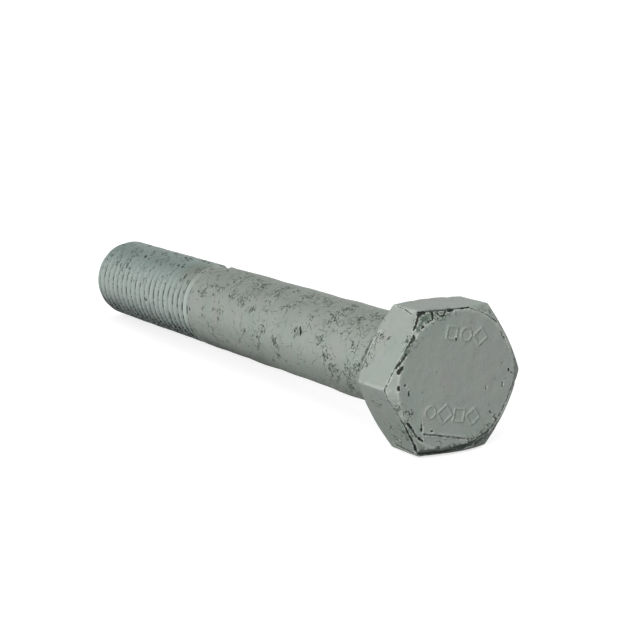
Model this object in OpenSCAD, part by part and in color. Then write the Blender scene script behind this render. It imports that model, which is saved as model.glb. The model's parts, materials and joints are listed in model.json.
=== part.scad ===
// Hex head screw M24 x 160 with a part-length thread, forged, turned and rolled in one piece.
// It is drawn upright, with its bearing face at height 0, the head above and the thread below,
// and then laid down as it comes to rest: on one flat of the head and on the last crests.

/* [Shank] */
// Diameter of the plain shank
shank_d = 24; // [22:0.5:27]
// Length from the bearing face to the end of the thread
length = 160; // [120:5:240]
// Radius of the fillet between the shank and the bearing face
fillet_r = 1; // [0.4:0.1:1.4]

/* [Head] */
// Width across the flats
across_flats = 36; // [34:0.5:46]
// Height of the head, with its washer face
head_h = 15; // [10:0.5:22]
// How far the edge of the flat top lies inside the flats
top_inset = 0.5; // [0.2:0.1:2]
// Slope of the chamfer on the top corners
top_chamfer_angle = 30; // [15:1:35]
// Height of the washer face
washer_h = 0.8; // [0.3:0.1:1.5]
// How far the edge of the washer face lies inside the flats
washer_inset = 1.2; // [0.5:0.1:2]
// How far outside the flats the chamfer on the rear corners begins
rear_outset = 0.5; // [0.2:0.1:1.5]
// Slope of the chamfer on the rear corners
rear_chamfer_angle = 35; // [15:1:45]

/* [Thread] */
// Diameter over the crests, just under the nominal one
crest_d = 23.8; // [22:0.1:24]
// Distance from one crest to the next
pitch = 3; // [2:0.25:3.5]
// Length of the thread, from the neck to the end of the screw
thread_length = 60; // [40:1:90]
// Angle between the flanks
flank_angle = 60; // [50:1:65]
// Turns in which the thread rises out of the neck
run_out_turns = 0.25; // [0.25:0.25:2]
// Steps in one turn of the thread
turn_steps = 36; // [24:12:48]

/* [Neck and end] */
// Length of the plain neck between the shank and the thread
neck_length = 0.5; // [0.2:0.1:4]
// Slope of the shoulder that joins the shank to the neck
shoulder_angle = 45; // [20:1:60]
// Diameter of the flat end of the screw
end_d = 19.4; // [16:0.1:20]
// Slope of the chamfer round that end
end_chamfer_angle = 45; // [30:1:60]

/* [Hidden] */
coat_color = [0.60, 0.63, 0.60];
round_steps = 96;
fillet_steps = 32;
// How far one form reaches into or past another that it joins or cuts
overlap = 0.5;

// Head, a hexagon with half_side degrees from the middle of a flat to its corner
half_side = 30;
flat_r = across_flats / 2;
corner_r = flat_r / cos(half_side);
top_r = flat_r - top_inset;
washer_r = flat_r - washer_inset;
rear_r = flat_r + rear_outset;
past_corner_r = corner_r + overlap;
top_chamfer_h = (past_corner_r - top_r) * tan(top_chamfer_angle);
rear_chamfer_h = (past_corner_r - rear_r) * tan(rear_chamfer_angle);

// Thread: the width of a crest, the depth and the height over the blank are the standard
// shares of the pitch. It is rolled into a blank of the pitch diameter, out of which the
// crests rise as the roots sink in
crest_share = 1 / 8;
depth_share = 0.6134;
height_share = 0.3248;
shank_r = shank_d / 2;
crest_r = crest_d / 2;
crest_width = crest_share * pitch;
thread_depth = depth_share * pitch;
flank_width = thread_depth * tan(flank_angle / 2);
root_r = crest_r - thread_depth;
blank_r = crest_r - height_share * pitch;

// Neck: a true cylinder that covers the start of the blank and tapers away into it
neck_over_blank = 0.05;
taper_under_blank = 0.25;
taper_h = 0.4;
thread_start = length - thread_length;
neck_r = blank_r + neck_over_blank;
shoulder_h = (shank_r - neck_r) / tan(shoulder_angle);
shank_end = thread_start - neck_length - shoulder_h;
taper_r = blank_r - taper_under_blank;

// End
end_r = end_d / 2;
past_crest_r = crest_r + overlap;
end_chamfer_h = (crest_r - end_r) * tan(end_chamfer_angle);

// Rest: the last crest is at the bottom, where it meets the ground beside the end's chamfer
contact = length - end_chamfer_h;
rest_angle = atan((flat_r - crest_r) / (contact + washer_h));
rest_height = flat_r * cos(rest_angle) - washer_h * sin(rest_angle);
reach_of_head = head_h * cos(rest_angle) + top_r * sin(rest_angle);
reach_of_end = length * cos(rest_angle) + end_r * sin(rest_angle);

// Helix: each step has four corners of the profile, root, crest, crest and root, upwards.
// It starts below the end, which cuts it off, and its last turn lies flat on the blank
profile_z = [-crest_width / 2 - flank_width, -crest_width / 2, crest_width / 2, crest_width / 2 + flank_width];
profile_r = [root_r, crest_r, crest_r, root_r];
corners = len(profile_z);
last = corners - 1;
first_crest = -contact + crest_width / 2 - pitch * (ceil((length - contact) / pitch) + 1);
run_out_end = (-thread_start - first_crest) / pitch * turn_steps;
last_step = ceil(run_out_end) + turn_steps;
low_end = first_crest + profile_z[0] - overlap;
high_end = -shank_end + overlap;

function rise(i) = min(1, max(0, (run_out_end - i) / (run_out_turns * turn_steps)));
function around(i, r, z) = [r * cos(360 * i / turn_steps), r * sin(360 * i / turn_steps), z];
function thread_point(i, k) =
    around(i, blank_r + (profile_r[k] - blank_r) * rise(i), first_crest + pitch * i / turn_steps + profile_z[k]);

// Numbers of the points: those of the helix, then a ring at each end of it
function on_helix(i, k) = i * corners + k;
function on_low_ring(i) = on_helix(last_step + 1, 0) + i % turn_steps;
function on_high_ring(i) = on_low_ring(i) + turn_steps;

module thread_helix() {
    points = concat(
        [for (i = [0 : last_step], k = [0 : corners - 1]) thread_point(i, k)],
        [for (i = [0 : turn_steps - 1]) around(i, root_r, low_end)],
        [for (i = [0 : turn_steps - 1]) around(i, blank_r, high_end)]
    );
    // From each step to the next, along the crest and both flanks
    ridge = [for (i = [0 : last_step - 1], k = [0 : corners - 2])
        [on_helix(i, k), on_helix(i, k + 1), on_helix(i + 1, k + 1), on_helix(i + 1, k)]];
    // Along the root, up to the turn above
    below_last = last_step - turn_steps;
    root = [for (i = [0 : below_last - 1])
        [on_helix(i, last), on_helix(i + turn_steps, 0), on_helix(i + turn_steps + 1, 0), on_helix(i + 1, last)]];
    // Down from the first turn to the low ring, with a step where the turn begins
    low_wall = [for (i = [0 : turn_steps - 2])
        [on_low_ring(i), on_helix(i, 0), on_helix(i + 1, 0), on_low_ring(i + 1)]];
    low_step = concat([on_helix(turn_steps - 1, 0), on_helix(turn_steps, 0)],
        [for (k = [last : -1 : 0]) on_helix(0, k)], [on_low_ring(0), on_low_ring(turn_steps - 1)]);
    low_cap = [for (i = [0 : turn_steps - 1]) on_low_ring(i)];
    // Up from the last turn to the high ring, in the same way
    high_wall = [for (i = [below_last + 1 : last_step - 1])
        [on_helix(i, last), on_high_ring(i), on_high_ring(i + 1), on_helix(i + 1, last)]];
    high_step = concat([on_helix(below_last + 1, last), on_helix(below_last, last)],
        [for (k = [0 : last]) on_helix(last_step, k)], [on_high_ring(last_step), on_high_ring(below_last + 1)]);
    high_cap = [for (i = [turn_steps - 1 : -1 : 0]) on_high_ring(i)];
    polyhedron(points, concat(ridge, root, low_wall, [low_step, low_cap], high_wall, [high_step, high_cap]));
}

module head() {
    intersection() {
        rotate(half_side) cylinder(h = head_h + overlap, r = corner_r, $fn = 6);
        rotate_extrude($fn = round_steps)
            polygon([[0, washer_h], [rear_r, washer_h], [past_corner_r, washer_h + rear_chamfer_h],
                     [past_corner_r, head_h - top_chamfer_h], [top_r, head_h], [0, head_h]]);
    }
}

module shank() {
    rotate_extrude($fn = round_steps) {
        polygon([[0, washer_h + overlap], [washer_r, washer_h + overlap], [washer_r, 0], [shank_r, 0],
                 [shank_r, -shank_end], [neck_r, -shank_end - shoulder_h], [neck_r, -thread_start],
                 [taper_r, -thread_start - taper_h], [0, -thread_start - taper_h]]);
        difference() {
            translate([shank_r - overlap, -fillet_r]) square([fillet_r + overlap, fillet_r + washer_h / 2]);
            translate([shank_r + fillet_r, -fillet_r]) circle(fillet_r, $fn = fillet_steps);
        }
    }
}

module thread() {
    intersection() {
        thread_helix();
        rotate_extrude($fn = round_steps)
            polygon([[0, -length], [end_r, -length],
                     [past_crest_r, -length + (past_crest_r - end_r) * tan(end_chamfer_angle)],
                     [past_crest_r, 0], [0, 0]]);
    }
}

module lie_down() {
    translate([(reach_of_end - reach_of_head) / 2, 0, rest_height])
        rotate([0, 90 - rest_angle, 0]) children();
}

module hex_bolt() {
    color(coat_color) lie_down() {
        head();
        shank();
        thread();
    }
}

hex_bolt();
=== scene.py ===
# Hex head screw with a part-length thread, in steel with a matt grey zinc coat.
# Shapes are worked out in the screw's own axes, in millimetres: along runs from 0 at the bearing
# face towards the head, and angle runs from 0 on the far side through 90 degrees at the top.
import json

import bmesh
import bpy
import numpy as np
from mathutils import Matrix, Vector
from mathutils.bvhtree import BVHTree

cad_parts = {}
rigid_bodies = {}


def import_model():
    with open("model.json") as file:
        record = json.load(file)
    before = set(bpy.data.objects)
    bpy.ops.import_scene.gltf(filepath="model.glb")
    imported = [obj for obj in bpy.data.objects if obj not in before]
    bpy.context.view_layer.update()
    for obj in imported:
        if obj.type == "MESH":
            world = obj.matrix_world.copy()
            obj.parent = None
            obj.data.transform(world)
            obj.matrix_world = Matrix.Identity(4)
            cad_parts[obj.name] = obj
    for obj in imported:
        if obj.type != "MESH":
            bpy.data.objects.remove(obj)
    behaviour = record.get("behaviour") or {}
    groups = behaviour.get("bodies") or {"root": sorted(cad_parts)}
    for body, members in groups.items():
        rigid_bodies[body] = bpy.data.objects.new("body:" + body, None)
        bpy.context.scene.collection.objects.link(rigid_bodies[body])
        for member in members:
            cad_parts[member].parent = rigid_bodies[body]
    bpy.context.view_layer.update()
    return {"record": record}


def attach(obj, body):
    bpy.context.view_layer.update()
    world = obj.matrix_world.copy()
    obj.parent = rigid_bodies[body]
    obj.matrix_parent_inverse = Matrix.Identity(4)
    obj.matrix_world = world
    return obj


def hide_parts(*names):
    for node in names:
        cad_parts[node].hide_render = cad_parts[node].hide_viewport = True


for startup_object in list(bpy.data.objects):
    bpy.data.objects.remove(startup_object)
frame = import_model()

MM = 0.001

# Sizes of the screw
mounts = {mount["name"]: mount for mount in frame["record"]["mounts"]}
SHANK_R = mounts["shank"]["dims"]["r_mm"]
CREST_R = mounts["thread"]["dims"]["r_mm"]
THREAD_LENGTH = mounts["thread"]["dims"]["length_mm"]
LENGTH = 160.0
PITCH = 3.0
FLAT_R = 18.0
HEAD_H = 15.0
TOP_R = 17.5
TOP_CHAMFER = np.radians(30)
WASHER_H = 0.8
WASHER_R = 16.8
REAR_R = 18.5
REAR_CHAMFER = np.radians(35)
FILLET_R = 1.0
END_R = 9.7

# Thread, neck and shoulder, with crest, depth and height over the blank as shares of the pitch
THREAD_START = -(LENGTH - THREAD_LENGTH)
FLANK_ANGLE = np.radians(60)
FLANK_SLOPE = 1 / np.tan(FLANK_ANGLE / 2)
CREST_SHARE = 1 / 8
DEPTH_SHARE = 0.6134
HEIGHT_SHARE = 0.3248
CREST_WIDTH = CREST_SHARE * PITCH
THREAD_DEPTH = DEPTH_SHARE * PITCH
ROOT_R = CREST_R - THREAD_DEPTH
BLANK_R = CREST_R - HEIGHT_SHARE * PITCH
NECK_OVER_BLANK = 0.05
NECK_R = BLANK_R + NECK_OVER_BLANK
NECK_LENGTH = 0.5
TAPER_H = 0.4
RUN_OUT_TURNS = 0.25
SHOULDER_FOOT = THREAD_START + NECK_LENGTH
SHOULDER_H = SHANK_R - NECK_R
SHOULDER_TOP = SHOULDER_FOOT + SHOULDER_H
END_CHAMFER_H = CREST_R - END_R
FIRST_CREST = -(LENGTH - END_CHAMFER_H) + CREST_WIDTH / 2

# Softness of the edges under the coat
HEAD_EDGE = 0.45
CREST_EDGE = 0.22
END_EDGE = 0.5
END_RIM_R = END_R - END_EDGE / 4

# Mesh steps
ROUND_STEPS = 144
HEAD_STEPS = 360
CORNER_CROWDING = 0.4
END_STEP = 1.0
SHANK_STEP = 0.78
FACE_STEP = 0.3
SIDE_STEP = 0.42
SAME_POINT = 0.002
THREAD_MESH_END = THREAD_START + 0.1
FILLET_TURNS = np.radians([30, 60, 90])
# Across one pitch, from the middle of a crest: crest, flank, root and next flank
ACROSS_THREAD = np.array([-0.28, -0.12, 0.12, 0.28, 0.7, 1.13, 1.32, 1.68, 1.87, 2.3])
# Softened corners, as steps along and out from the sharp one
FOOT_CORNER = ((-0.15, 0.01), (0.1, 0.12))
TOP_CORNER = ((-0.12, -0.14), (0.05, -0.03), (0.25, 0.0))
WASHER_RIM = ((0.0, -0.15), (0.06, -0.04), (0.2, 0.0))
WASHER_FOOT = ((-0.15, 0.0), (-0.03, 0.06))
# Rings on the bearing face by radius, and on the rear of the head by their share of the way out
FACE_RINGS = (15.0, 16.2)
FIRST_FACE_RING = SHANK_R + FILLET_R + 0.6
REAR_SHARES = (0.35, 0.75)
# Distances of the side's rings from either end of the head
NEAR_EDGE = np.array([0.0, 0.08, 0.2, 0.36, 0.55, 0.75, 0.95, 1.15, 1.4, 1.65, 1.9])

# Upper side, where coat fills the grooves and shade is painted, and underside, where shade is painted too
UPPER_AT = np.radians(118)
UPPER_SPREAD = np.radians(36)
FILLED_SHARE = 0.75
BOTTOM_AT = np.radians(-90)

# Unevenness: depth, bias, length and seed of each swell, then the waves of the shank
SWELLS = ((0.05, 1.2, 13.0, 1), (0.012, 1.5, 4.0, 2))
WAVE_DEPTH, WAVE_LENGTH, WAVE_SEED = 0.12, 9.0, 6
WAVES_SUMMED = 16
WAVE_SPREAD = (0.7, 1.6)
# Dents: stretch along the screw, number, radii, depths and seed
DENTS = (
    ((SHOULDER_FOOT + 1, 0), 160, (0.7, 1.8), (0.04, 0.2), 3),
    ((0.5, HEAD_H), 60, (0.5, 1.4), (0.04, 0.2), 4),
    ((-LENGTH, THREAD_START), 120, (0.5, 1.4), (0.05, 0.25), 5),
)
# Chips and seams: depth, and the distances from a stroke's border where they are full and end
CHIP_DEPTH, CHIP_FLANK = 0.18, (-0.25, 0.15)
SEAM_DEPTH, SEAM_FLANK = 0.06, (-0.1, 0.2)
# Dent that shows as a notch in the top outline of the shank, at this pixel
NOTCH_AT = (227.5, 268)
NOTCH_DEPTH = 1.0
NOTCH_FLANK = (0.24, 1.2)

# Zones of the coat and of its painted shade and highlight, from none to full: along the screw, by radius,
# or in degrees from the bottom
ON_THREAD = (THREAD_START + 0.5, THREAD_START - 0.5)
ON_HEAD = (-0.5, 0.5)
BESIDE_HEAD = (0, -3)
BESIDE_SHOULDER = (SHOULDER_FOOT + 1, SHOULDER_FOOT + 4)
OFF_TOP_FACE = (HEAD_H - 0.02, HEAD_H - 0.3)
OFF_END_FACE = (END_R - 1.5, END_R + 0.8)
BLUE_FADES = (THREAD_START - 14, THREAD_START - 5)
ROOT_SHADE_STARTS = (-LENGTH, -LENGTH + 5)
# Painted shade on the low side, on the underside and along the shank's bottom edge
LOW_SIDE = (85, 40)
UNDERSIDE_SHADE = (105, 45)
DARK_BRINK = (64, 32)
BRINK_ALONG = (SHOULDER_FOOT + 70, SHOULDER_FOOT + 5)
# Highlight painted on the last crest: where it fades in along the screw and by radius, and the share it
# loses on the upper side
LAST_CREST_STARTS = (THREAD_START - 2.9, THREAD_START - 2.1)
LAST_CREST_ENDS = (THREAD_START, THREAD_START - 0.5)
LAST_CREST_R = (CREST_R - 1.5, CREST_R - 0.3)
LAST_CREST_FILLED = 0.6
# Reach of the wear on corners, rim and crests, and furthest distances that are kept for marks
CORNER_WEAR = 0.5
RIM_WEAR = 0.45
CREST_WEAR = 0.35
GRIME_REACH = 4.0
CHIP_REACH = 2.0
FAR = 99.0
# Points this near the flat top or the flat end belong to it, and those outside this radius to a side
FACE_SLACK = 0.01
HEAD_SIDE_R = FLAT_R - 0.1

# Raised figures on the flat top, in millimetres right of and above its middle
FIGURE_TURN = np.radians(-12)
FIGURE_HEIGHT, FIGURE_FLANK = 0.25, (0.08, 0.32)
FIGURE_GAP = 4.4
RING = np.radians(np.arange(0, 361, 15))
SQUARE = np.radians([45, 135, 225, 315, 405])
DIAMOND = np.radians([0, 90, 180, 270, 360])
# Middle of each row, then its figures from left to right with their radii
FIGURE_ROWS = (
    ((2.4, 11.2), ((SQUARE, 2.1), (RING, 1.6), (DIAMOND, 2.1))),
    ((-1.6, -8.2), ((RING, 1.5), (DIAMOND, 2.3), (SQUARE, 2.2), (DIAMOND, 2.1))),
)
BAR_AT = (-3.2, -13.4)
BAR_LENGTH = 13.6
BAR_HEIGHT, BAR_FLANK = 0.18, (0.3, 0.7)

# Marks in the photograph's pixels: half a width in millimetres, then the points of a stroke
CHIPS = [
    (0.36, (406, 355), (401, 361.5), (396, 367.5)),
    (0.44, (402.4, 368.6), (400.6, 370.4), (398.2, 373)),
    (0.3, (399, 387.5), (399, 390.5)),
    (0.7, (419.4, 312), (418.8, 313.6)),
    (0.45, (420, 312.4), (423.4, 312.6)),
    (0.3, (419, 313), (416.9, 319.9), (415.4, 326)),
    (0.24, (415.4, 326), (413.2, 330)),
    (0.3, (432.4, 313.6), (432.6, 315)),
    (0.17, (432.6, 315), (432.9, 319.6), (428.6, 322.1)),
    (0.2, (437.3, 313.4), (440.5, 316.1), (443.8, 315.4), (445.4, 311.4)),
    (0.42, (448.6, 310.2), (452.6, 309.5)),
    (0.4, (462, 307.6), (463.6, 307.2)),
    (0.26, (466, 306.8), (469.4, 306.4)),
    (0.22, (422.1, 328.1), (423.4, 326.8)),
    (0.2, (413.4, 335.7), (415, 338.4), (411.3, 341.6), (408.6, 344.9)),
    (0.3, (407.9, 424.2), (411.7, 428.2)),
    (0.28, (419.6, 438.6), (422.4, 440.9)),
    (0.36, (405.6, 429.4), (407.4, 433.4)),
    (0.42, (409.4, 437.4), (411.4, 440.6)),
    (0.4, (414.2, 446), (415.6, 452)),
    (0.18, (409.8, 391), (409.3, 396)),
    (0.15, (405.8, 384.8), (405.4, 386.5)),
    (0.15, (502.6, 382), (502.3, 386)),
    (0.15, (486.2, 387), (485.6, 389)),
    (0.15, (489.6, 411), (490.6, 413)),
    (0.2, (493.6, 416), (495, 418)),
    (0.17, (421.7, 423), (421.9, 428)),
    (0.3, (421.9, 429), (421.8, 431)),
    (0.2, (431.4, 431), (432.8, 431.6)),
    (0.17, (455.8, 338.4), (456.2, 340.4)),
    (0.2, (508.6, 369), (509, 371)),
    (0.35, (299.4, 327), (300, 331.5), (299.4, 334.8)),
    (0.25, (294, 330.4), (295, 331.6)),
    (0.25, (159, 250.5), (162, 252)),
    (0.2, (144.5, 257.5), (146.5, 255)),
    (0.22, (145.6, 299), (147, 302)),
    (0.24, (177.6, 265.4), (179.4, 264.4)),
    (0.22, (182, 266.6), (183.6, 265.8)),
    (0.15, (182.4, 281.4), (184.4, 277.6), (187, 273.4)),
    (0.2, (202.6, 262.4), (208.2, 262.2), (210, 262.8)),
    (0.25, (198, 290.4), (199, 291.4)),
    (0.25, (212.8, 294.4), (213.6, 295)),
    (0.25, (188.6, 308), (189.4, 310)),
]
SEAMS = [
    (0.44, (419, 311.6), (432, 310.2), (446, 309)),
    (0.34, (446, 309), (458, 307.8), (469, 306.6)),
    (0.16, (413.4, 336.9), (406.3, 348.7), (395.7, 366.4), (384.4, 390)),
    (0.17, (384.4, 391), (390.3, 405.2), (401, 421)),
    (0.3, (401, 421), (405.6, 429.2), (409.4, 437.4)),
    (0.3, (409.4, 437.4), (413.3, 444), (415.8, 452.5)),
    (0.2, (411.7, 428.7), (416.3, 436.3), (420, 439.4)),
    (0.28, (418, 454), (432, 453.4), (449, 450.8)),
    (0.16, (449, 450.8), (467, 446.6), (481, 441)),
    (0.13, (483.5, 439), (488.5, 431), (496.5, 419.5), (501.6, 411.5), (509, 394), (513.6, 381)),
    (0.1, (380, 331), (374.4, 341), (369.4, 350), (365, 360), (361, 370)),
    (0.08, (509.2, 371), (512.4, 373.2), (515.2, 375.4)),
    (0.06, (391, 304.4), (397.5, 306), (404, 308.8), (411.5, 314)),
    (0.12, (470, 307.8), (486, 314), (497, 322)),
    (0.12, (488, 308), (501, 332), (515, 361)),
    (0.13, (452, 448.4), (466.8, 444.4), (474.5, 440.4), (486, 432.8), (493, 425.6)),
    (0.16, (424, 434.4), (440, 435.8), (459, 438), (469, 438.8)),
    (0.1, (375.6, 400.6), (382.6, 406.4)),
    (0.13, (389.6, 427), (391, 430.6), (389.2, 430)),
    (0.13, (393.6, 435), (397.4, 441), (399.6, 439)),
    (0.2, (393.4, 443.6), (403, 448.4), (413, 453)),
]
GRIME = [
    (0.9, (420.6, 313.4), (426, 319.4)),
    (0.9, (424, 312.8), (434, 313)),
    (0.5, (436, 311.8), (450, 310.4)),
    (0.5, (417.6, 330), (422.6, 325)),
    (0.6, (411, 341), (405.6, 352)),
    (0.5, (404, 423), (411, 436)),
    (0.4, (472, 441), (484, 434)),
]
# Strokes of painted shade along the lower rim of the head and along its rear edge beside the shank
PAINTED_SHADE_STROKES = [
    (0.9, (421, 453), (434, 452.4), (450, 450.4), (462, 447.4)),
    (0.35, (462, 447), (478, 440.5), (485, 435.5)),
    (0.4, (375.2, 334.5), (371.9, 340), (368.6, 346.5), (365.4, 353), (362, 360.5), (358.9, 366.5)),
]
# Where flecks gather: a point in the photograph's pixels and a radius in millimetres
FLECK_CLUSTERS = [
    ((205, 289), 2.4), ((236, 282), 2.8), ((232, 295), 2.0), ((243, 299), 2.4), ((262, 286), 2.6),
    ((272, 297), 2.8), ((251, 309), 1.6), ((263, 328), 1.8), ((275, 343), 2.0), ((277, 353), 1.6),
    ((297, 332), 1.8), ((297, 291), 1.6), ((297, 303), 2.0), ((316, 300), 2.8), ((335, 316), 3.6),
    ((345, 310), 2.8), ((319, 340), 2.0), ((325, 356), 2.6), ((332, 372), 3.4), ((340, 381), 2.8),
    ((202, 312), 1.4), ((243, 332), 1.6), ((258, 337), 2.0), ((194, 329), 1.4), ((345, 331), 2.2),
    ((352, 346), 2.2), ((361, 318), 2.8), ((374, 318), 2.4), ((356, 366), 2.2), ((350, 386), 2.8),
    ((390, 427), 1.6), ((376, 402), 1.6), ((397, 440), 1.8), ((436, 314), 1.8), ((420, 322), 1.8),
    ((425, 317), 2.4), ((441, 311), 1.8), ((452, 309), 1.6), ((411, 340), 1.8), ((405, 350), 1.4),
    ((407, 415), 1.8), ((398, 412), 1.6), ((404, 434), 2.0), ((474, 442), 2.2), ((440, 447), 1.6),
    ((484, 437), 2.0), ((490, 430), 1.8), ((496, 420), 1.4), ((453, 448), 1.2),
    ((377, 314), 2.0), ((381, 318), 1.6), ((381, 336), 1.3), ((376, 345), 1.1), ((371, 355), 1.0),
    ((366, 365), 0.9), ((348, 372), 2.2), ((246, 277), 2.4), ((258, 281), 2.4), ((284, 289), 2.4),
    ((309, 296), 2.6), ((329, 301), 2.6), ((350, 306), 2.2), ((388, 340), 1.2), ((204, 291), 2.0),
    ((213, 288), 1.6), ((222, 288), 1.4), ((201, 313), 1.2),
]
# Warm and cool patches of the coat, given by a point and a radius too
WARM_PATCHES = [
    ((432, 301), 5.0), ((452, 300), 4.0), ((208, 293), 3.0), ((197, 303), 2.5), ((215, 270), 3.0),
    ((262, 300), 4.0), ((318, 320), 4.0), ((386, 330), 3.0), ((447, 366), 4.0), ((482, 352), 4.0),
    ((236, 316), 4.0), ((302, 310), 3.0), ((337, 353), 3.0), ((380, 415), 3.0),
]
COOL_PATCHES = [
    ((446, 322), 4.5), ((428, 334), 3.5), ((196, 268), 3.5), ((180, 276), 3.0), ((157, 262), 4.0),
    ((218, 286), 2.5), ((206, 304), 2.5), ((250, 330), 4.0), ((284, 322), 3.5), ((322, 336), 3.0),
    ((352, 358), 3.5), ((412, 402), 3.5), ((474, 426), 4.0), ((392, 346), 2.5), ((400, 426), 3.0),
]

# Camera, in the screw's own axes
CAMERA_AT = (342.1, -253.4, 98.1)
LOOKS_AT = (-13.2, -21.4, 12.65)
LENS_MM = 98.42
SENSOR_MM = 36.0
PHOTO_WIDTH = 640

# Light, floor and background
SCREW_MIDDLE = (-60.0, 0.0, 0.0)
KEY_FROM = (0.42, -0.64, 0.2)
KEY_LIGHT = 0.82
FILL_FROM = (-0.5, 0.85, 0.1)
FILL_LIGHT = 0.5
LAMP_DISTANCE = 0.9
LAMP_SIZE = 0.4
HORIZON_LIGHT = 0.56
ZENITH_LIGHT = 0.6
BACKGROUND_SEEN = 1.0
FLOOR_SIZE = 6.0
FLOOR_SEEN = (0.62, 0.62, 0.62)
FLOOR_BOUNCE = (0.1, 0.1, 0.1)
FLOOR_GLOW = 0.67
SHARP_ANGLE = np.radians(50)


def screw_axes():
    """Matrix from the screw's own axes in millimetres to the frame's in metres."""
    face = mounts["bearing_face"]
    drive = mounts["hex_drive"]
    along = Vector(drive["axis"]).normalized()
    side = Vector((0, 1, 0))
    up = along.cross(side).normalized()
    on_axis = Vector(drive["pos_m"])
    centre = on_axis + along * (Vector(face["pos_m"]) - on_axis).dot(along)
    turn = Matrix((along, side, up)).transposed().to_4x4()
    return Matrix.Translation(centre) @ turn @ Matrix.Scale(MM, 4)


AXES = screw_axes()


# Shape of the screw, as radius over length and angle

def softer(a, b, width):
    """The smaller of a and b, with the corner between them rounded."""
    near = np.maximum(width - np.abs(a - b), 0) / width
    return np.minimum(a, b) - near * near * width / 4


def fade(value, start, end):
    """A smooth step from 0 at start to 1 at end."""
    t = np.clip((value - start) / (end - start), 0, 1)
    return t * t * (3 - 2 * t)


def round_from(angle, middle):
    """How far an angle is from another, the short way round."""
    return np.abs(np.mod(angle - middle + np.pi, 2 * np.pi) - np.pi)


def upper_share(angle):
    """How far an angle belongs to the upper side, from 0 to 1."""
    return np.exp(-(round_from(angle, UPPER_AT) / UPPER_SPREAD) ** 2)


def head_radius(along, angle):
    """Hexagon with its corners cut by the chamfers of both ends."""
    off_middle = np.abs(np.mod(angle, np.pi / 3) - np.pi / 6)
    radius = softer(FLAT_R / np.cos(off_middle), FLAT_R / np.cos(np.pi / 3 - off_middle), HEAD_EDGE)
    radius = softer(radius, TOP_R + (HEAD_H - along) / np.tan(TOP_CHAMFER), HEAD_EDGE)
    return softer(radius, REAR_R + (along - WASHER_H) / np.tan(REAR_CHAMFER), HEAD_EDGE)


def thread_radius(along, angle):
    """Helical thread with rounded crests, its neck and the chamfer of its end."""
    turn = np.mod(angle + np.pi / 2, 2 * np.pi) / (2 * np.pi)
    turns_up = (along - FIRST_CREST) / PITCH - turn
    crest = np.round(turns_up)
    off_crest = np.abs(turns_up - crest) * PITCH
    radius = softer(CREST_R, CREST_R - (off_crest - CREST_WIDTH / 2) * FLANK_SLOPE, CREST_EDGE)
    radius = -softer(-radius, -ROOT_R, CREST_EDGE)
    radius += (CREST_R - radius) * FILLED_SHARE * upper_share(angle)
    last_crest = (THREAD_START - FIRST_CREST) / PITCH
    rise = np.clip((last_crest - crest - turn) / RUN_OUT_TURNS, 0, 1)
    radius = BLANK_R + (radius - BLANK_R) * rise
    neck = NECK_R - fade(along, THREAD_START, THREAD_START - TAPER_H) * THREAD_DEPTH
    radius = np.maximum(radius, neck)
    return softer(radius, END_R + along + LENGTH, END_EDGE)


# Mesh: rings of points round the screw, joined one to the next

class Shell:
    """Points in the screw's own axes and the faces between them."""

    def __init__(self):
        self.points = []
        self.faces = []

    def add(self, along, radius, angle):
        """Adds points by length, radius and angle and gives the number of the first."""
        first = len(self.points)
        self.points += list(zip(along, radius * np.cos(angle), radius * np.sin(angle)))
        return first

    def ring(self, along, radius, angles):
        """Adds one closed ring and gives the numbers of its points."""
        first = self.add(np.broadcast_to(along, angles.shape), radius, angles)
        return np.arange(first, len(self.points))

    def join(self, ring, next_ring):
        """Joins two rings with the same number of points, and gives the second."""
        on, next_on = np.roll(ring, -1), np.roll(next_ring, -1)
        self.faces += list(zip(ring, on, next_on, next_ring))
        return next_ring

    def zip_rings(self, ring, angles, next_ring, next_angles):
        """Joins two rings with different numbers of points by triangles, and gives the second."""
        i = j = 0
        count, next_count = len(ring), len(next_ring)
        while i < count or j < next_count:
            step = angles[i + 1] if i + 1 < count else 2 * np.pi
            next_step = next_angles[j + 1] if j + 1 < next_count else 2 * np.pi
            here, next_here = ring[i % count], next_ring[j % next_count]
            if j >= next_count or (i < count and step <= next_step):
                i += 1
                self.faces.append((here, ring[i % count], next_here))
            else:
                j += 1
                self.faces.append((here, next_ring[j % next_count], next_here))
        return next_ring

    def cap(self, ring, along, head_end):
        """Closes a ring with a fan of triangles."""
        middle = len(self.points)
        self.points.append((along, 0.0, 0.0))
        for here, on in zip(ring, np.roll(ring, -1)):
            self.faces.append((here, on, middle) if head_end else (on, here, middle))


def round_angles():
    return np.arange(ROUND_STEPS) * 2 * np.pi / ROUND_STEPS


def head_angles():
    """Angles round the head, closer together at its corners."""
    even = np.arange(HEAD_STEPS) * 2 * np.pi / HEAD_STEPS
    return even - CORNER_CROWDING * np.sin(6 * even) / 6


def add_end(shell):
    """Flat end of the screw, from its middle to its rim."""
    angles = round_angles()
    first, *others = np.arange(END_STEP, END_R, END_STEP)
    ring = shell.ring(-LENGTH, first, angles)
    shell.cap(ring, -LENGTH, False)
    for radius in (*others, END_RIM_R):
        ring = shell.join(ring, shell.ring(-LENGTH, radius, angles))


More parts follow.
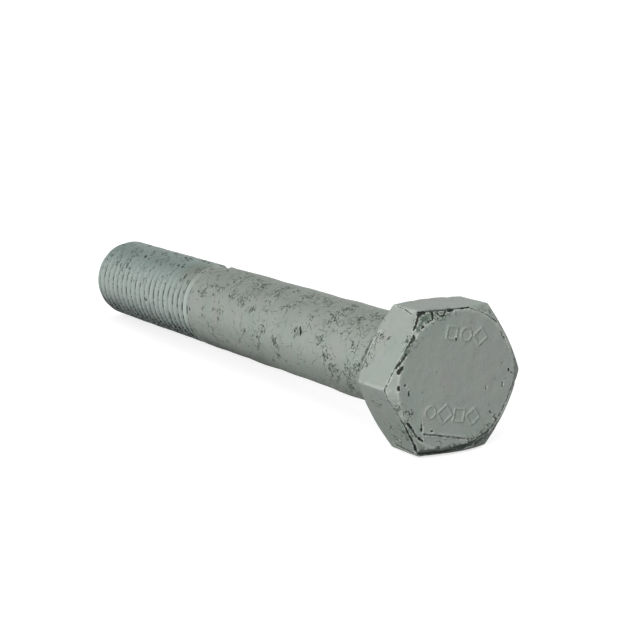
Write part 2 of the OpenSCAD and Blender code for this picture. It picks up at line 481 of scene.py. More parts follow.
def add_thread(shell):
    """Thread on steps that follow its helix, kept between the flat end and the neck."""
    before = int(np.ceil((FIRST_CREST + LENGTH) / PITCH)) + 1
    turns = int(np.ceil((THREAD_MESH_END - FIRST_CREST) / PITCH)) + before + 1
    steps = turns * ROUND_STEPS
    i = np.arange(steps + 1)[:, None]
    along = FIRST_CREST - before * PITCH + PITCH * i / ROUND_STEPS + ACROSS_THREAD[None, :]
    along = np.clip(along, -LENGTH, THREAD_MESH_END)
    angle = np.broadcast_to(2 * np.pi * i / ROUND_STEPS - np.pi / 2, along.shape)
    radius = np.where(along <= -LENGTH, END_RIM_R, thread_radius(along, angle))
    first = shell.add(along.ravel(), radius.ravel(), angle.ravel())
    per_step = len(ACROSS_THREAD)

    def number(step, k):
        return first + step * per_step + k

    last = per_step - 1
    for step in range(steps):
        on = step + 1
        for k in range(last):
            shell.faces.append((number(step, k), number(on, k), number(on, k + 1), number(step, k + 1)))
    for step in range(steps - ROUND_STEPS):
        on, above = step + 1, step + ROUND_STEPS
        shell.faces.append((number(step, last), number(on, last), number(above + 1, 0), number(above, 0)))


def add_shank(shell):
    """Neck, shoulder and plain shank with its fillet. Gives the last ring."""
    angles = round_angles()
    profile = [(THREAD_MESH_END, NECK_R)]
    profile += [(SHOULDER_FOOT + along, NECK_R + out) for along, out in FOOT_CORNER]
    profile.append((SHOULDER_FOOT + SHOULDER_H / 2, NECK_R + SHOULDER_H / 2))
    profile += [(SHOULDER_TOP + along, SHANK_R + out) for along, out in TOP_CORNER]
    shank_start, fillet_start = profile[-1][0], -FILLET_R
    rows = int(round((fillet_start - shank_start) / SHANK_STEP))
    profile += [(along, SHANK_R) for along in np.linspace(shank_start, fillet_start, rows + 1)[1:]]
    profile += [(FILLET_R * (np.sin(turn) - 1), SHANK_R + FILLET_R * (1 - np.cos(turn)))
                for turn in FILLET_TURNS]
    ring = None
    for along, radius in profile:
        next_ring = shell.ring(along, np.maximum(radius, thread_radius(along, angles)), angles)
        ring = next_ring if ring is None else shell.join(ring, next_ring)
    return ring


def add_head(shell, neck_ring):
    """Washer face, rear chamfers, sides, top chamfers and the flat top."""
    angles = head_angles()
    ring = shell.ring(0.0, FIRST_FACE_RING, angles)
    ring = shell.zip_rings(neck_ring, round_angles(), ring, angles)
    outline = [(0.0, radius) for radius in FACE_RINGS]
    outline += [(along, WASHER_R + out) for along, out in WASHER_RIM]
    outline += [(WASHER_H + along, WASHER_R + out) for along, out in WASHER_FOOT]
    rear_edge = head_radius(WASHER_H, angles)
    outline += [(WASHER_H, WASHER_R + (rear_edge - WASHER_R) * share) for share in REAR_SHARES]
    low, high = WASHER_H + NEAR_EDGE[-1], HEAD_H - NEAR_EDGE[-1]
    between = np.linspace(low, high, int((high - low) / SIDE_STEP))[1:-1]
    side = np.concatenate([WASHER_H + NEAR_EDGE, between, HEAD_H - NEAR_EDGE[::-1]])
    outline += [(along, head_radius(along, angles)) for along in side]
    top_edge = head_radius(HEAD_H, angles)
    shares = np.linspace(1, 0, int(TOP_R / FACE_STEP), endpoint=False)[1:]
    outline += [(HEAD_H, top_edge * share) for share in shares]
    for along, radius in outline:
        ring = shell.join(ring, shell.ring(along, radius, angles))
    shell.cap(ring, HEAD_H, True)


def make_mesh():
    """Mesh of the whole screw in the screw's own axes, closed and with no doubled points."""
    shell = Shell()
    add_end(shell)
    add_thread(shell)
    add_head(shell, add_shank(shell))
    mesh = bpy.data.meshes.new("screw")
    mesh.from_pydata(shell.points, [], shell.faces)
    form = bmesh.new()
    form.from_mesh(mesh)
    bmesh.ops.remove_doubles(form, verts=form.verts, dist=SAME_POINT)
    form.to_mesh(mesh)
    form.free()
    return mesh


def vectors(collection, name):
    """A property of three numbers of each member, one row for each."""
    flat = np.zeros(len(collection) * 3)
    collection.foreach_get(name, flat)
    return flat.reshape(-1, 3)


# Marks that are placed by where they show in the photograph

def view_axes():
    """The camera's right, up and forward, in the screw's own axes."""
    forward = (Vector(LOOKS_AT) - Vector(CAMERA_AT)).normalized()
    right = forward.cross(Vector((0, 0, 1))).normalized()
    return right, right.cross(forward), forward


def ray_through(pixel):
    """Direction from the camera through a pixel of the photograph."""
    right, up, forward = view_axes()
    scale = SENSOR_MM / LENS_MM / PHOTO_WIDTH
    across = (pixel[0] - PHOTO_WIDTH / 2) * scale
    down = (pixel[1] - PHOTO_WIDTH / 2) * scale
    return forward + right * across - up * down


def on_surface(tree, pixel):
    """The point of the screw that shows at this pixel."""
    hit = tree.ray_cast(Vector(CAMERA_AT), ray_through(pixel))[0]
    return None if hit is None else np.array(hit)


def from_segment(points, a, b):
    """Distance from each point to the stretch from a to b."""
    span = b - a
    share = np.clip((points - a) @ span / max(span @ span, 1e-9), 0, 1)
    return np.linalg.norm(points - a - share[:, None] * span, axis=1)


def from_strokes(points, tree, strokes):
    """Distance from each point to the border of the nearest stroke, below 0 inside it."""
    nearest = np.full(len(points), FAR)
    for half_width, *pixels in strokes:
        hits = [on_surface(tree, pixel) for pixel in pixels]
        hits = [hit for hit in hits if hit is not None]
        for a, b in zip(hits, hits[1:]):
            nearest = np.minimum(nearest, from_segment(points, a, b) - half_width)
    return nearest


def gathered(points, tree, spots):
    """How near each point is to the middle of a spot, from 0 to 1."""
    thick = np.zeros(len(points))
    for pixel, radius in spots:
        hit = on_surface(tree, pixel)
        if hit is not None:
            away = np.linalg.norm(points - hit, axis=1)
            thick = np.maximum(thick, np.exp(-(away / radius) ** 2))
    return thick


# Raised figures on the flat top

def turned(across, up):
    """A step on the flat top, along and across the rows of figures."""
    return np.array([across * np.cos(FIGURE_TURN) - up * np.sin(FIGURE_TURN),
                     across * np.sin(FIGURE_TURN) + up * np.cos(FIGURE_TURN)])


def figures():
    """Stretches of two rows of plain raised rings, squares and diamonds."""
    stretches = []
    for middle, row in FIGURE_ROWS:
        for i, (corners, size) in enumerate(row):
            centre = np.array(middle) + turned((i - (len(row) - 1) / 2) * FIGURE_GAP, 0)
            points = [centre + turned(size * np.cos(a), size * np.sin(a)) for a in corners]
            stretches += list(zip(points, points[1:]))
    return stretches


def figure_height(points):
    """Height of the raised figures and the bar at each point."""
    on_top = points[:, 0] > HEAD_H - FACE_SLACK
    flat = points[on_top][:, 1:]
    nearest = np.full(len(flat), FAR)
    for a, b in figures():
        nearest = np.minimum(nearest, from_segment(flat, a, b))
    half_bar = turned(BAR_LENGTH / 2, 0)
    from_bar = from_segment(flat, BAR_AT - half_bar, BAR_AT + half_bar)
    figure = FIGURE_HEIGHT * (1 - fade(nearest, *FIGURE_FLANK))
    bar = BAR_HEIGHT * (1 - fade(from_bar, *BAR_FLANK))
    height = np.zeros(len(points))
    height[on_top] = np.maximum(figure, bar)
    return height


# Unevenness of the forged and coated surface

def waves(points, length, seed):
    """Smooth unevenness in space, about -1 to 1, with swells of about this length."""
    pick = np.random.default_rng(seed)
    total = np.zeros(len(points))
    for _ in range(WAVES_SUMMED):
        way = pick.normal(size=3)
        way *= 2 * np.pi / (length * pick.uniform(*WAVE_SPREAD) * np.linalg.norm(way))
        total += np.cos(points @ way + pick.uniform(0, 2 * np.pi))
    return total / np.sqrt(WAVES_SUMMED)


def dents(points, stretch, count, radii, depths, seed):
    """Depth at each point of small dents scattered over a stretch of the screw."""
    pick = np.random.default_rng(seed)
    low, high = stretch
    outside = np.flatnonzero((points[:, 0] > low) & (points[:, 0] < high))
    depth = np.zeros(len(points))
    for centre in pick.choice(outside, count):
        radius = pick.uniform(*radii)
        away = np.linalg.norm((points - points[centre]) / radius, axis=1)
        depth = np.maximum(depth, pick.uniform(*depths) * np.exp(-away ** 2 * 2))
    return depth


def notch(points):
    """Depth of the dent that lies along the camera's ray to the notch."""
    way = np.array(ray_through(NOTCH_AT).normalized())
    off = np.linalg.norm(np.cross(points - np.array(CAMERA_AT), way), axis=1)
    return NOTCH_DEPTH * (1 - fade(off, *NOTCH_FLANK))


def on_shank(points):
    """1 on the plain shank, fading to 0 beside the head and the shoulder."""
    return fade(points[:, 0], *BESIDE_SHOULDER) * fade(points[:, 0], *BESIDE_HEAD)


def depth_of(points, chip, seam):
    """How deep the real surface lies inside the smooth one, in millimetres."""
    depth = np.zeros(len(points))
    for deep, bias, length, seed in SWELLS:
        depth += deep * (bias + waves(points, length, seed)).clip(0)
    depth += WAVE_DEPTH * on_shank(points) * waves(points, WAVE_LENGTH, WAVE_SEED)
    for stretch, count, radii, depths, seed in DENTS:
        depth += dents(points, stretch, count, radii, depths, seed)
    depth += CHIP_DEPTH * (1 - fade(chip, *CHIP_FLANK))
    depth += notch(points)
    depth += SEAM_DEPTH * (1 - fade(seam, *SEAM_FLANK))
    return depth - figure_height(points)


def edge_nearness(along, radius, angle):
    """1 on the worn outer edges of the head and of the crests, fading to 0 beside them."""
    off_corner = np.abs(np.mod(angle + np.pi / 6, np.pi / 3) - np.pi / 6) * radius
    on_side = (along > WASHER_H) & (radius > HEAD_SIDE_R)
    corner = np.where(on_side, np.exp(-(off_corner / CORNER_WEAR) ** 2), 0)
    rim = np.exp(-(np.hypot(along - HEAD_H, radius - TOP_R) / RIM_WEAR) ** 2)
    crest = np.where(along < THREAD_START, fade(radius, CREST_R - CREST_WEAR, CREST_R), 0)
    return np.maximum(np.maximum(corner, rim), crest * (1 - upper_share(angle)))


def looks_of(points, tree, chip, seam):
    """What the coat's nodes read at each point: shares from 0 to 1, and distances to marks."""
    along = points[:, 0]
    radius = np.hypot(points[:, 1], points[:, 2])
    angle = np.arctan2(points[:, 2], points[:, 1])
    upper = upper_share(angle)
    off_bottom = np.degrees(round_from(angle, BOTTOM_AT))
    off_end = fade(radius, *OFF_END_FACE)
    thread = fade(along, *ON_THREAD)
    groove = np.where(along < THREAD_START, np.clip((CREST_R - radius) / THREAD_DEPTH, 0, 1), 0)
    # Mask of the highlight painted on the last crest, weaker on the upper side
    last_crest = fade(along, *LAST_CREST_STARTS) * fade(along, *LAST_CREST_ENDS)
    last_crest *= fade(radius, *LAST_CREST_R) * (1 - LAST_CREST_FILLED * upper)
    return {
        "thread": thread,
        "groove": np.where(along < -LENGTH + FACE_SLACK, 0, groove),
        "last_crest": last_crest,
        "head": fade(along, *ON_HEAD),
        "edge": edge_nearness(along, radius, angle),
        "blue": thread * (1 - upper * fade(along, *BLUE_FADES)),
        # Masks of painted shade: upper side, low side of the thread, underside and the shank's bottom
        # edge
        "dull": upper * off_end * fade(along, *BESIDE_HEAD),
        "low": fade(off_bottom, *LOW_SIDE) * off_end,
        "below": fade(off_bottom, *UNDERSIDE_SHADE) * off_end * fade(along, *OFF_TOP_FACE),
        "brink": fade(off_bottom, *DARK_BRINK) * on_shank(points) * fade(along, *BRINK_ALONG),
        "dirt": (1 - upper) * fade(along, *ROOT_SHADE_STARTS),
        "warm": gathered(points, tree, WARM_PATCHES),
        "cool": gathered(points, tree, COOL_PATCHES),
        "flecks": gathered(points, tree, FLECK_CLUSTERS),
        "grime": np.minimum(from_strokes(points, tree, GRIME), GRIME_REACH),
        "soot": np.minimum(from_strokes(points, tree, PAINTED_SHADE_STROKES), GRIME_REACH),
        "chip": np.minimum(chip, CHIP_REACH),
        "seam": np.minimum(seam, CHIP_REACH),
    }


def weather(mesh):
    """Moves the points by the unevenness and stores what the coat's nodes read."""
    points = vectors(mesh.vertices, "co")
    outward = vectors(mesh.vertex_normals, "vector")
    tree = BVHTree.FromPolygons(points.tolist(), [tuple(p.vertices) for p in mesh.polygons])
    chip = from_strokes(points, tree, CHIPS)
    seam = from_strokes(points, tree, SEAMS)
    moved = points - outward * depth_of(points, chip, seam)[:, None]
    mesh.vertices.foreach_set("co", moved.ravel())
    for name, values in looks_of(points, tree, chip, seam).items():
        attribute = mesh.attributes.new(name, "FLOAT", "POINT")
        attribute.data.foreach_set("value", np.ascontiguousarray(values, dtype=np.float32))


# Materials, built from nodes

class Nodes:
    """Short calls for the nodes of one material or of the world."""

    def __init__(self, owner):
        owner.use_nodes = True
        self.tree = owner.node_tree
        self.tree.nodes.clear()

    def add(self, kind, **settings):
        """Adds a node and gives it."""
        node = self.tree.nodes.new(kind)
        for name, value in settings.items():
            setattr(node, name, value)
        return node

    def feed(self, socket, value):
        """Links a socket to another, or gives it a fixed value."""
        if isinstance(value, bpy.types.NodeSocket):
            self.tree.links.new(value, socket)
        elif isinstance(value, tuple) and socket.type == "RGBA":
            socket.default_value = (*value, 1.0)
        else:
            socket.default_value = value

    def math(self, operation, a, b=0.0, clamp=False):
        node = self.add("ShaderNodeMath", operation=operation, use_clamp=clamp)
        self.feed(node.inputs[0], a)
        self.feed(node.inputs[1], b)
        return node.outputs[0]

    def times(self, first, *others):
        """All of them multiplied."""
        for other in others:
            first = self.math("MULTIPLY", first, other)
        return first

    def most(self, first, *others):
        """The largest of them."""
        for other in others:
            first = self.math("MAXIMUM", first, other)
        return first

    def plus(self, a, b):
        return self.math("ADD", a, b)

    def minus(self, a, b):
        return self.math("SUBTRACT", a, b)

    def between(self, value, at_0, at_1):
        """at_0 where value is 0, at_1 where it is 1, and in a straight line between."""
        return self.plus(at_0, self.times(value, at_1 - at_0))

    def step(self, value, start, end):
        """A smooth step from 0 where value is start to 1 where it is end."""
        node = self.add("ShaderNodeMapRange", interpolation_type="SMOOTHSTEP")
        self.feed(node.inputs["Value"], value)
        flip = start > end
        self.feed(node.inputs["From Min"], end if flip else start)
        self.feed(node.inputs["From Max"], start if flip else end)
        self.feed(node.inputs["To Min"], 1.0 if flip else 0.0)
        self.feed(node.inputs["To Max"], 0.0 if flip else 1.0)
        return node.outputs[0]

    def blend(self, factor, a, b):
        """Colour a where factor is 0, b where it is 1."""
        node = self.add("ShaderNodeMix", data_type="RGBA", clamp_factor=True)
        self.feed(node.inputs[0], factor)
        self.feed(node.inputs[6], a)
        self.feed(node.inputs[7], b)
        return node.outputs[2]

    def tint(self, color, other, mask, share):
        """Colour that goes this share of the way to the other one where mask is 1."""
        return self.blend(self.times(mask, share), color, other)

    def attribute(self, name):
        return self.add("ShaderNodeAttribute", attribute_name=name).outputs["Fac"]

    def place(self, stretch=(1, 1, 1), turn=(0, 0, 0)):
        """Place on the object in millimetres, stretched and turned for a pattern's grain."""
        spot = self.add("ShaderNodeTexCoord").outputs["Object"]
        node = self.add("ShaderNodeMapping", vector_type="TEXTURE")
        self.feed(node.inputs["Vector"], spot)
        self.feed(node.inputs["Rotation"], tuple(np.radians(turn)))
        self.feed(node.inputs["Scale"], tuple(MM * s for s in stretch))
        return node.outputs[0]

    def noise(self, place, size, detail=2.0, roughness=0.5):
        node = self.add("ShaderNodeTexNoise")
        self.feed(node.inputs["Vector"], place)
        self.feed(node.inputs["Scale"], 1 / size)
        self.feed(node.inputs["Detail"], detail)
        self.feed(node.inputs["Roughness"], roughness)
        return node.outputs[0]

    def patches(self, place, size, start, end, detail=2.0, roughness=0.5):
        """Patches of noise of about this size, from 0 where it is start to 1 where it is end."""
        return self.step(self.noise(place, size, detail, roughness), start, end)

    def band(self, level, thick, width, soft):
        """Winding bands along the middle level of a noise, wider where thick is higher."""
        off = self.math("ABSOLUTE", self.minus(level, 0.5))
        return self.step(self.minus(off, self.times(thick, width)), 0.0, -soft)

    def bump(self, height, distance, normal=None):
        node = self.add("ShaderNodeBump")
        self.feed(node.inputs["Height"], height)
        self.feed(node.inputs["Distance"], distance * MM)
        if normal is not None:
            self.feed(node.inputs["Normal"], normal)
        return node.outputs[0]

    def seen(self):
        """1 for the camera and in reflections and glass, 0 where the light only bounces."""
        path = self.add("ShaderNodeLightPath")
        return self.most(path.outputs["Is Camera Ray"], path.outputs["Is Glossy Ray"],
                         path.outputs["Is Transmission Ray"])

    def finish(self, surface, output="ShaderNodeOutputMaterial"):
        self.feed(self.add(output).inputs["Surface"], surface)


def shade(red, green, blue):
    """A colour given in 0 to 255 as a screen shows it, in the linear values that nodes take."""
    values = np.array([red, green, blue]) / 255
    linear = np.where(values <= 0.04045, values / 12.92, ((values + 0.055) / 1.055) ** 2.4)
    return tuple(float(v) for v in linear)


# Colours of the coat, its wear and its marks, and of the painted shade and highlights
GREY = shade(158, 164, 159)
GREEN_GREY = shade(154, 164, 157)
PINK_GREY = shade(160, 163, 158)
OLIVE_GREY = shade(157, 164, 155)
BLUE_GREY = shade(161, 174, 170)
WARM_GREY = shade(160, 162, 158)
COOL_GREY = shade(147, 161, 153)
PALE_GREY = shade(168, 174, 169)
DARK_GREY = shade(120, 126, 121)
WEAR_AND_HIGHLIGHT_GREY = shade(194, 200, 194)
ROOT_SHADE_GREY = shade(112, 121, 116)
FLECK_GREY = shade(66, 74, 68)
SEAM_GREY = shade(46, 52, 47)
GRIME_GREEN = shade(92, 106, 94)
STROKE_SHADE_GREY = shade(74, 80, 75)
SHADE_GREY = shade(118, 124, 117)
SHADE_BLUE = shade(118, 132, 128)
LOW_SHADE_GREY = shade(40, 45, 42)
CHIP_BLACK = shade(26, 30, 28)

# Grain of the patterns: stretch on each axis, and turn in degrees
PINK_GRAIN = (1.3, 1, 1)
OLIVE_GRAIN = (1, 1.2, 1)
RISING_GRAIN, RISING_TURN = (0.2, 0.7, 2.1), (0, 36, 0)
FALLING_GRAIN, FALLING_TURN = (0.2, 0.7, 1.8), (0, -42, 0)
CURL_GRAIN = (1, 0.8, 1.1)
GROOVE_GRAIN = (0.4, 2.2, 2.2)
UPPER_GRAIN = (0.26, 1.3, 1.3)
LOW_GRAIN = (0.4, 0.8, 0.8)

# Patches of noise: size, the levels where they start and are full, then detail and roughness
GREEN_PATCHES = (9.0, 0.42, 0.6, 3.0)
PINK_PATCHES = (6.0, 0.5, 0.68, 3.0)
OLIVE_PATCHES = (5.0, 0.56, 0.7)
PALE_MOTTLE = (1.6, 0.35, 0.7, 4.0, 0.65)
DARK_GRAINS = (0.35, 0.35, 0.75, 3.0, 0.7)
WORN_SPOTS = (0.8, 0.3, 0.6, 3.0)
LOW_MOTTLE = (1.0, 0.42, 0.58)
STROKES = (1.0, 0.56, 0.61, 1.0)
STROKE_WAYS = (4.0, 0.46, 0.54, 1.0)
THIN_STRETCHES = (1.0, 0.46, 0.5, 1.0)
CURL_STRETCHES = (1.6, 0.46, 0.52, 1.0)
GROOVE_DASHES = (1.0, 0.46, 0.52, 2.0, 0.6)
GROOVE_STRETCHES = (3.5, 0.3, 0.44)
UPPER_DASHES = (1.0, 0.56, 0.62, 1.0)
UPPER_STRETCHES = (3.0, 0.49, 0.58)
STRAY_CLUSTERS = (7.0, 0.48, 0.7, 3.0)
SPECKS = (0.55, 0.58, 0.66, 1.0)
STRAYS = (0.6, 0.7, 0.74, 1.0)
STRAY_STRETCHES = (3.0, 0.55, 0.62, 1.0)
LIP_HIGHLIGHT_STRETCHES = (0.9, 0.46, 0.54, 1.0)

# Plain noise: size, detail and roughness
SHADE_NOISE = (4.0, 3.0)
FLECK_NOISE = (2.9, 3.0, 0.6)
CURL_NOISE = (5.2, 2.0, 0.55)
GRIME_NOISE = (1.3, 4.0, 0.7)
EDGE_NOISE = (0.7, 3.0, 0.7)
GLOSS_NOISE = (1.2, 3.0)
BROAD_NOISE, BROAD_DEPTH = (3.2, 3.0), 0.25
FINE_NOISE, FINE_DEPTH = (0.6, 4.0, 0.6), 0.06
MARK_DEPTH = 0.12

# Bands of flecks: width where they are thickest, and softness of their borders
STROKE_BAND = (0.1, 0.03)
THIN_BAND = (0.034, 0.008)
CURL_BAND = (0.018, 0.006)

# Shares of the groove's depth, of a cluster and of the upper side where painted shade, painted highlights
# and marks start and are full
SUNK = (0.0, 0.4)
ROOTS = (0.3, 0.7)
DASHED_ROOTS = (0.42, 0.56)
INSIDE_CLUSTER = (0.2, 0.6)
ON_UPPER_SIDE = (0.1, 0.4)

# Marks of the photograph, strokes of painted shade and highlights painted beside chips: distances from
# the border where they start and are full, and how ragged
GRIME_BORDER = (0.5, -0.3)
SHADE_STROKE_BORDER = (0.5, -0.4)
SEAM_BORDER = (0.12, -0.04)
CHIP_BORDER = (0.1, -0.04)
LIP_HIGHLIGHT_BORDER = (0.42, 0.3)
GRIME_RAGGED = 1.5
EDGE_RAGGED = 0.4

# Roughness of the coat, least and most, and its gloss
ROUGHNESS = (0.56, 0.72)
SPECULAR = 0.1


def ground_color(n, place):
    """Grey-green zinc with broad patches, bluer on the thread, and a fine grain."""
    color = n.blend(n.patches(place, *GREEN_PATCHES), GREY, GREEN_GREY)
    color = n.blend(n.patches(n.place(PINK_GRAIN), *PINK_PATCHES), color, PINK_GREY)
    color = n.blend(n.patches(n.place(OLIVE_GRAIN), *OLIVE_PATCHES), color, OLIVE_GREY)
    color = n.tint(color, BLUE_GREY, n.attribute("blue"), share=0.75)
    color = n.tint(color, WARM_GREY, n.attribute("warm"), share=0.8)
    color = n.tint(color, COOL_GREY, n.attribute("cool"), share=0.8)
    color = n.tint(color, PALE_GREY, n.patches(place, *PALE_MOTTLE), share=0.25)
    return n.tint(color, DARK_GREY, n.patches(place, *DARK_GRAINS), share=0.16)


def shaded_above_and_below(n, place, color):
    """The same coat with painted shade on the upper side and on the underside."""
    thread, head = n.attribute("thread"), n.attribute("head")
    uneven = n.between(n.noise(place, *SHADE_NOISE), 0.8, 1.2)
    upper = n.times(n.attribute("dull"), n.between(thread, 0.55, 0.9), uneven)
    below = n.times(n.attribute("below"), n.between(head, 0.5, 0.34))
    dull = n.blend(n.attribute("blue"), SHADE_GREY, SHADE_BLUE)
    return n.tint(n.blend(n.most(upper, below), color, dull), DARK_GREY, head, share=0.12)


def worn_with_painted_light(n, place, color):
    """Pale worn edges, a highlight painted on the last crest, and painted shade in the roots, on the
    thread's low side and along the shank's bottom edge. Gives the mask of the shade on the low side and
    the bottom edge too.
    """
    groove = n.attribute("groove")
    worn = n.times(n.attribute("edge"), n.patches(place, *WORN_SPOTS), 0.5)
    # Worn edges, with a highlight painted on the last crest
    color = n.blend(n.most(worn, n.times(n.attribute("last_crest"), 0.45)), color, WEAR_AND_HIGHLIGHT_GREY)
    # Painted shade in the roots of the thread, off on the upper side and near the flat end
    color = n.tint(color, ROOT_SHADE_GREY, n.times(n.step(groove, *ROOTS), n.attribute("dirt")), share=0.36)
    # Painted shade on the low side of the thread, deepest in the grooves, and along the shank's bottom
    # edge
    mottle = n.between(n.patches(n.place(LOW_GRAIN), *LOW_MOTTLE), 0.74, 1.22)
    sunk = n.between(n.step(groove, *SUNK), 0.6, 0.96)
    dark = n.times(sunk, n.attribute("low"), n.attribute("thread"), mottle)
    dark = n.most(dark, n.times(n.attribute("brink"), 0.5))
    return n.blend(dark, color, LOW_SHADE_GREY), dark


def flecks_of(n, place, thick, spread):
    """Short strokes along winding bands and thin curly lines, denser where thick is higher."""
    level = n.noise(place, *FLECK_NOISE)
    rising = n.patches(n.place(RISING_GRAIN, RISING_TURN), *STROKES)
    falling = n.patches(n.place(FALLING_GRAIN, FALLING_TURN), *STROKES)
    way = n.patches(place, *STROKE_WAYS)
    strokes = n.plus(n.times(rising, way), n.times(falling, n.minus(1.0, way)))
    strokes = n.times(strokes, n.band(level, thick, *STROKE_BAND))
    thin = n.times(n.band(level, thick, *THIN_BAND), n.patches(place, *THIN_STRETCHES))
    curl = n.band(n.noise(n.place(CURL_GRAIN), *CURL_NOISE), n.most(thick, spread), *CURL_BAND)
    curl = n.times(curl, n.patches(place, *CURL_STRETCHES), 0.75)
    return n.most(strokes, curl, thin)


def dashes_of(n, place):
    """Dashes that follow the grooves, and scattered ones on the filled upper side."""
    thread = n.attribute("thread")
    in_roots = n.times(n.step(n.attribute("groove"), *DASHED_ROOTS), n.attribute("dirt"))
    grooves = n.times(n.patches(n.place(GROOVE_GRAIN), *GROOVE_DASHES),
                      n.patches(place, *GROOVE_STRETCHES), in_roots, thread)
    # Upper dashes are scattered where shade is painted on the upper side
    on_upper = n.step(n.attribute("dull"), *ON_UPPER_SIDE)
    upper = n.times(n.patches(n.place(UPPER_GRAIN), *UPPER_DASHES),
                    n.patches(place, *UPPER_STRETCHES), on_upper, thread)
    return n.most(grooves, upper)


def flecked(n, place, color):
    """Clusters of dark flecks, strays and dashes, with pale specks painted in as highlights. Gives the
    mask of the flecks, strays and dashes too.
    """
    thread, head = n.attribute("thread"), n.attribute("head")
    clusters = n.times(n.patches(place, *STRAY_CLUSTERS), 0.5, n.between(head, 1.0, 0.2))
    thick = n.times(n.most(n.attribute("flecks"), clusters), n.between(thread, 1.0, 0.25))
    spread = n.between(n.most(head, thread), 0.5, 0.0)
    # Pale specks painted inside the clusters as highlights
    specks = n.times(n.patches(place, *SPECKS), n.step(thick, *INSIDE_CLUSTER))
    color = n.tint(color, WEAR_AND_HIGHLIGHT_GREY, specks, share=0.3)
    strays = n.times(n.patches(place, *STRAYS), n.patches(place, *STRAY_STRETCHES), 0.8)
    marks = n.most(flecks_of(n, place, thick, spread), strays, dashes_of(n, place))
    return n.tint(color, FLECK_GREY, marks, share=0.9), marks


def chipped(n, place, color):
    """Grime, strokes of painted shade, seams along edges and bare chips, with highlights painted beside
    chips and seams on the head. Gives the masks of the painted shade strokes and of bare metal too.
    """
    patchy = n.between(n.noise(place, *GRIME_NOISE), -GRIME_RAGGED, GRIME_RAGGED)
    ragged = n.between(n.noise(place, *EDGE_NOISE), -EDGE_RAGGED, EDGE_RAGGED)
    to_seam, to_chip = n.attribute("seam"), n.attribute("chip")
    grime = n.step(n.plus(n.attribute("grime"), patchy), *GRIME_BORDER)
    soot = n.step(n.plus(n.attribute("soot"), n.times(patchy, 0.5)), *SHADE_STROKE_BORDER)
    seam = n.step(n.plus(to_seam, ragged), *SEAM_BORDER)
    chip = n.step(n.plus(to_chip, ragged), *CHIP_BORDER)
    # Highlights painted beside chips and seams on the head, kept off the strokes of painted shade
    lip_highlight = n.step(n.plus(n.math("MINIMUM", to_seam, to_chip), ragged), *LIP_HIGHLIGHT_BORDER)
    lip_highlight = n.times(lip_highlight, n.patches(place, *LIP_HIGHLIGHT_STRETCHES), n.attribute("head"), n.minus(1.0, soot))
    color = n.tint(color, GRIME_GREEN, grime, share=0.8)
    # Painted shade along its strokes
    color = n.tint(color, STROKE_SHADE_GREY, soot, share=0.85)
    color = n.tint(color, WEAR_AND_HIGHLIGHT_GREY, lip_highlight, share=0.55)
    color = n.tint(color, SEAM_GREY, seam, share=0.85)
    color = n.tint(color, CHIP_BLACK, chip, share=0.95)
    return color, soot, n.most(seam, chip)


def relief_of(n, place, pits):
    """Broad and fine unevenness, with the marks a little sunk."""
    relief = n.bump(n.noise(place, *BROAD_NOISE), BROAD_DEPTH)
    relief = n.bump(n.noise(place, *FINE_NOISE), FINE_DEPTH, relief)
    return n.bump(n.minus(1.0, pits), MARK_DEPTH, relief)


def coat_material():
    """Matt grey-green zinc with patches, dark flecks, dashes in the thread and bare chips, with shade and
    highlights painted in.
    """
    material = bpy.data.materials.new("zinc_coat")
    n = Nodes(material)
    place = n.place()
    color = shaded_above_and_below(n, place, ground_color(n, place))
    color, dark = worn_with_painted_light(n, place, color)
    color, marks = flecked(n, place, color)
    color, soot, bare = chipped(n, place, color)
    shader = n.add("ShaderNodeBsdfPrincipled")
    n.feed(shader.inputs["Base Color"], color)
    n.feed(shader.inputs["Roughness"], n.between(n.noise(place, *GLOSS_NOISE), *ROUGHNESS))
    n.feed(shader.inputs["Normal"], relief_of(n, place, n.most(marks, bare)))
    # Less gloss where shade is painted
    unshaded = n.math("SUBTRACT", 1.0, n.most(dark, soot), clamp=True)
    n.feed(shader.inputs["Specular IOR Level"], n.times(unshaded, SPECULAR))
    n.finish(shader.outputs[0])
    return material


def floor_material():
    """Pale for the camera and in reflections, with the shadow kept, and dim as a source of bounce."""
    material = bpy.data.materials.new("floor")
    n = Nodes(material)
    seen = n.seen()
    diffuse = n.add("ShaderNodeBsdfDiffuse")
    n.feed(diffuse.inputs["Color"], n.blend(seen, FLOOR_BOUNCE, FLOOR_SEEN))
    glow = n.add("ShaderNodeEmission")
    n.feed(glow.inputs["Strength"], n.times(seen, FLOOR_GLOW))
    both = n.add("ShaderNodeAddShader")
    n.feed(both.inputs[0], diffuse.outputs[0])
    n.feed(both.inputs[1], glow.outputs[0])
    n.finish(both.outputs[0])
    return material


# Camera, floor, background and lamps

def add_camera():
    data = bpy.data.cameras.new("camera")
    data.lens = LENS_MM
    data.sensor_width = SENSOR_MM
    camera = bpy.data.objects.new("camera", data)
    right, up, forward = view_axes()
    turn = Matrix((right, up, -forward)).transposed().to_4x4()
    camera.matrix_world = (AXES @ Matrix.Translation(CAMERA_AT) @ turn) @ Matrix.Scale(1 / MM, 4)
    bpy.context.scene.collection.objects.link(camera)
    bpy.context.scene.camera = camera


def add_floor():
    mesh = bpy.data.meshes.new("floor")
    half = FLOOR_SIZE / 2
    corners = [(-half, -half, 0), (half, -half, 0), (half, half, 0), (-half, half, 0)]
    mesh.from_pydata(corners, [], [(0, 1, 2, 3)])
    mesh.materials.append(floor_material())
    floor = bpy.data.objects.new("floor", mesh)
    bpy.context.scene.collection.objects.link(floor)


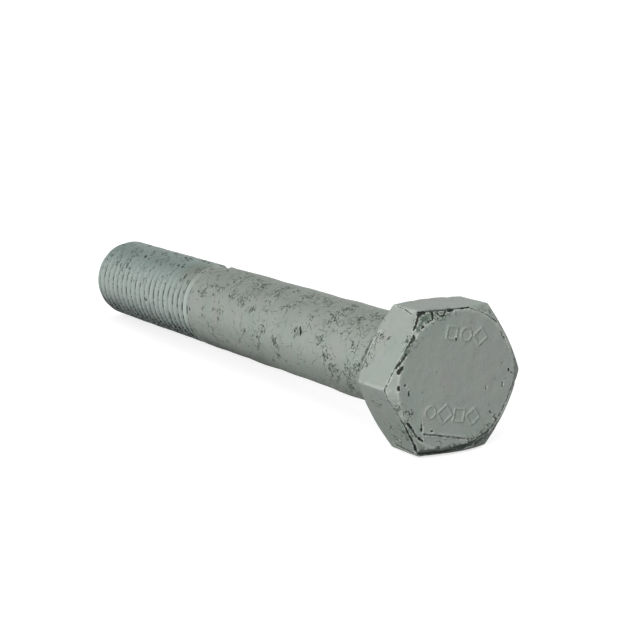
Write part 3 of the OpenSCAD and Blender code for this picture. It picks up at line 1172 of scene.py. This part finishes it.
def add_world():
    """White where it is seen, and as a light a little stronger from above."""
    world = bpy.data.worlds.new("studio")
    bpy.context.scene.world = world
    n = Nodes(world)
    height = n.add("ShaderNodeSeparateXYZ")
    n.feed(height.inputs[0], n.add("ShaderNodeTexCoord").outputs["Generated"])
    sky = n.add("ShaderNodeMapRange")
    n.feed(sky.inputs["Value"], height.outputs["Z"])
    n.feed(sky.inputs["To Min"], HORIZON_LIGHT)
    n.feed(sky.inputs["To Max"], ZENITH_LIGHT)
    strength = n.add("ShaderNodeMix")
    n.feed(strength.inputs[0], n.seen())
    n.feed(strength.inputs[2], sky.outputs[0])
    n.feed(strength.inputs[3], BACKGROUND_SEEN)
    background = n.add("ShaderNodeBackground")
    n.feed(background.inputs["Strength"], strength.outputs[0])
    n.feed(background.inputs["Color"], (1.0, 1.0, 1.0))
    n.finish(background.outputs[0], "ShaderNodeOutputWorld")


def add_lamp(name, from_side, light):
    """Square soft lamp. A light of 1 shows a surface that faces it in its own colour."""
    data = bpy.data.lights.new(name, "AREA")
    data.shape = "SQUARE"
    data.size = LAMP_SIZE
    data.energy = light * (np.pi * LAMP_DISTANCE) ** 2
    lamp = bpy.data.objects.new(name, data)
    way = (AXES.to_3x3() @ Vector(from_side)).normalized()
    lamp.location = AXES @ Vector(SCREW_MIDDLE) + way * LAMP_DISTANCE
    lamp.rotation_euler = way.to_track_quat("Z", "Y").to_euler()
    bpy.context.scene.collection.objects.link(lamp)


def main():
    bpy.context.scene.view_settings.view_transform = "Standard"
    mesh = make_mesh()
    weather(mesh)
    mesh.transform(AXES)
    mesh.shade_smooth()
    mesh.set_sharp_from_angle(angle=SHARP_ANGLE)
    mesh.materials.append(coat_material())
    screw = bpy.data.objects.new("screw", mesh)
    bpy.context.scene.collection.objects.link(screw)
    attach(screw, "root")
    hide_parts("hex_bolt")
    add_floor()
    add_world()
    add_lamp("key", KEY_FROM, KEY_LIGHT)
    add_lamp("fill", FILL_FROM, FILL_LIGHT)
    add_camera()


main()
